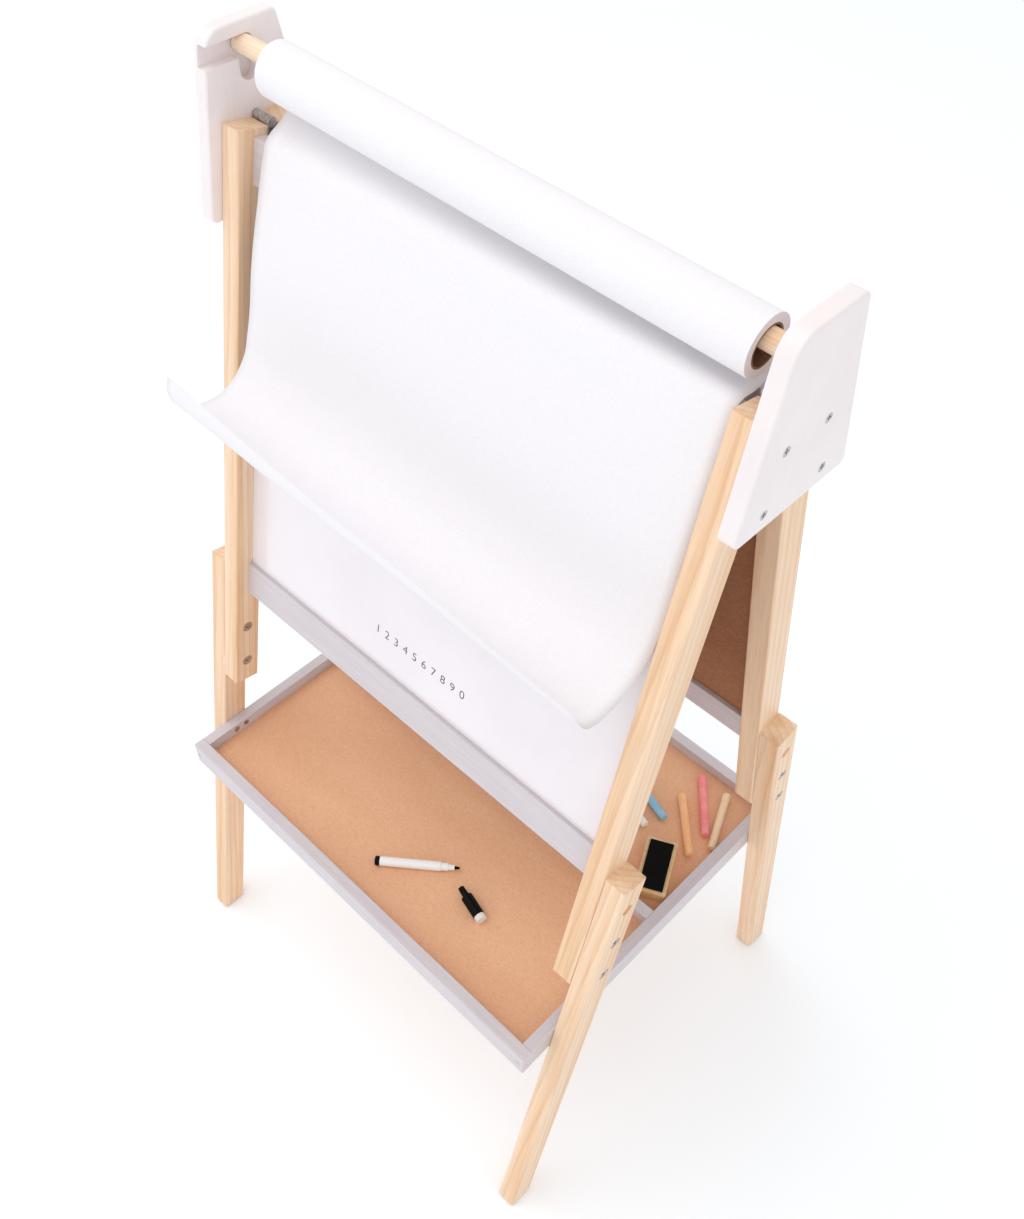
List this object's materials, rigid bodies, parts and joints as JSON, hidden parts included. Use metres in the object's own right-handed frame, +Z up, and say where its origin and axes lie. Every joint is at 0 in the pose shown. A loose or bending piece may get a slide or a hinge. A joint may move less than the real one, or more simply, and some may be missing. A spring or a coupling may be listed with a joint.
{
  "type": "artist_easel",
  "caption": "Children's double-sided wooden A-frame easel with whiteboard, chalkboard, paper roll on a round bar and a tray with chalks and a marker",
  "frame": {"origin": "on the floor, under the middle of the box round the four feet", "axes": "+Z up, -Y towards the whiteboard side, +X to the right of somebody who draws on the whiteboard"},
  "size_m": [0.5728, 0.4942, 1.112],
  "materials": {
    "pine": "satin",
    "dowel": "satin",
    "grey_paint": "satin",
    "white_paint": "satin",
    "hardboard": "matte",
    "whiteboard_lacquer": "gloss",
    "chalkboard_paint": "matte",
    "steel": "satin",
    "foot_felt": "matte",
    "paper": "matte",
    "roll_core": "matte",
    "marker_white": "gloss",
    "marker_black": "gloss",
    "black_felt": "matte",
    "white_felt": "matte",
    "eraser_wood": "satin",
    "chalk_blue": "matte",
    "chalk_white": "matte",
    "chalk_orange": "matte",
    "chalk_pink": "matte",
    "chalk_cream": "matte"
  },
  "bodies": {
    "root": {"chalkboard_backing": "hardboard", "chalkboard_surface": "chalkboard_paint", "extension_bolts": "steel", "extension_nuts": "steel", "foot_pads": "foot_felt", "front_bottom_rail": "grey_paint", "front_extension_left": "pine", "front_extension_right": "pine", "front_leg_left": "pine", "front_leg_right": "pine", "front_top_rail": "grey_paint", "hinge_leaves_front": "steel", "hinge_leaves_rear": "steel", "hinge_pins": "steel", "hinge_screws": "steel", "paper_sheet": "paper", "plate_screws": "steel", "rail_pins": "pine", "rear_bottom_rail": "grey_paint", "rear_extension_left": "pine", "rear_extension_right": "pine", "rear_leg_left": "pine", "rear_leg_right": "pine", "rear_top_rail": "grey_paint", "side_plate_left": "white_paint", "side_plate_right": "white_paint", "tray_corner_screws": "steel", "tray_divider": "grey_paint", "tray_end_pins": "steel", "tray_floor_front": "hardboard", "tray_floor_rear": "hardboard", "tray_front_rail": "grey_paint", "tray_leg_screws": "steel", "tray_rear_rail": "grey_paint", "tray_side_rail_left": "grey_paint", "tray_side_rail_right": "grey_paint", "whiteboard_backing": "hardboard", "whiteboard_surface": "whiteboard_lacquer"},
    "paper_bar": {"paper_bar": "dowel"},
    "paper_roll": {"paper_roll": "paper", "roll_core": "roll_core"},
    "marker": {"marker_barrel": "marker_white", "marker_nib": "black_felt", "marker_plug": "marker_black"},
    "marker_cap": {"marker_cap": "marker_black", "marker_cap_felt": "white_felt"},
    "board_eraser": {"eraser_block": "eraser_wood", "eraser_felt": "black_felt"},
    "chalk_blue": {"chalk_blue": "chalk_blue"},
    "chalk_white": {"chalk_white": "chalk_white"},
    "chalk_orange": {"chalk_orange": "chalk_orange"},
    "chalk_pink": {"chalk_pink": "chalk_pink"},
    "chalk_cream": {"chalk_cream": "chalk_cream"}
  },
  "joints": [
    {"name": "bar_drop", "type": "hinge", "parent": "root", "child": "paper_bar", "pos_m": [0.26915, 0, 1.074], "axis": [0, -1, 0], "range_deg": [0, 2], "deforming": ["paper_sheet"]},
    {"name": "roll_turn", "type": "hinge", "parent": "paper_bar", "child": "paper_roll", "pos_m": [0.00629, 0, 1.07737], "axis": [0.9994, 0, -0.0353], "continuous": true},
    {"name": "marker_lift", "type": "slide", "parent": "root", "child": "marker", "axis": [0, 0, 1], "range_m": [0, 0.06]},
    {"name": "marker_cap_lift", "type": "slide", "parent": "root", "child": "marker_cap", "axis": [0, 0, 1], "range_m": [0, 0.06]},
    {"name": "board_eraser_lift", "type": "slide", "parent": "root", "child": "board_eraser", "axis": [0, 0, 1], "range_m": [0, 0.06]},
    {"name": "chalk_blue_lift", "type": "slide", "parent": "root", "child": "chalk_blue", "axis": [0, 0, 1], "range_m": [0, 0.06]},
    {"name": "chalk_white_lift", "type": "slide", "parent": "root", "child": "chalk_white", "axis": [0, 0, 1], "range_m": [0, 0.06]},
    {"name": "chalk_orange_lift", "type": "slide", "parent": "root", "child": "chalk_orange", "axis": [0, 0, 1], "range_m": [0, 0.06]},
    {"name": "chalk_pink_lift", "type": "slide", "parent": "root", "child": "chalk_pink", "axis": [0, 0, 1], "range_m": [0, 0.06]},
    {"name": "chalk_cream_lift", "type": "slide", "parent": "root", "child": "chalk_cream", "axis": [0, 0, 1], "range_m": [0, 0.06]}
  ]
}
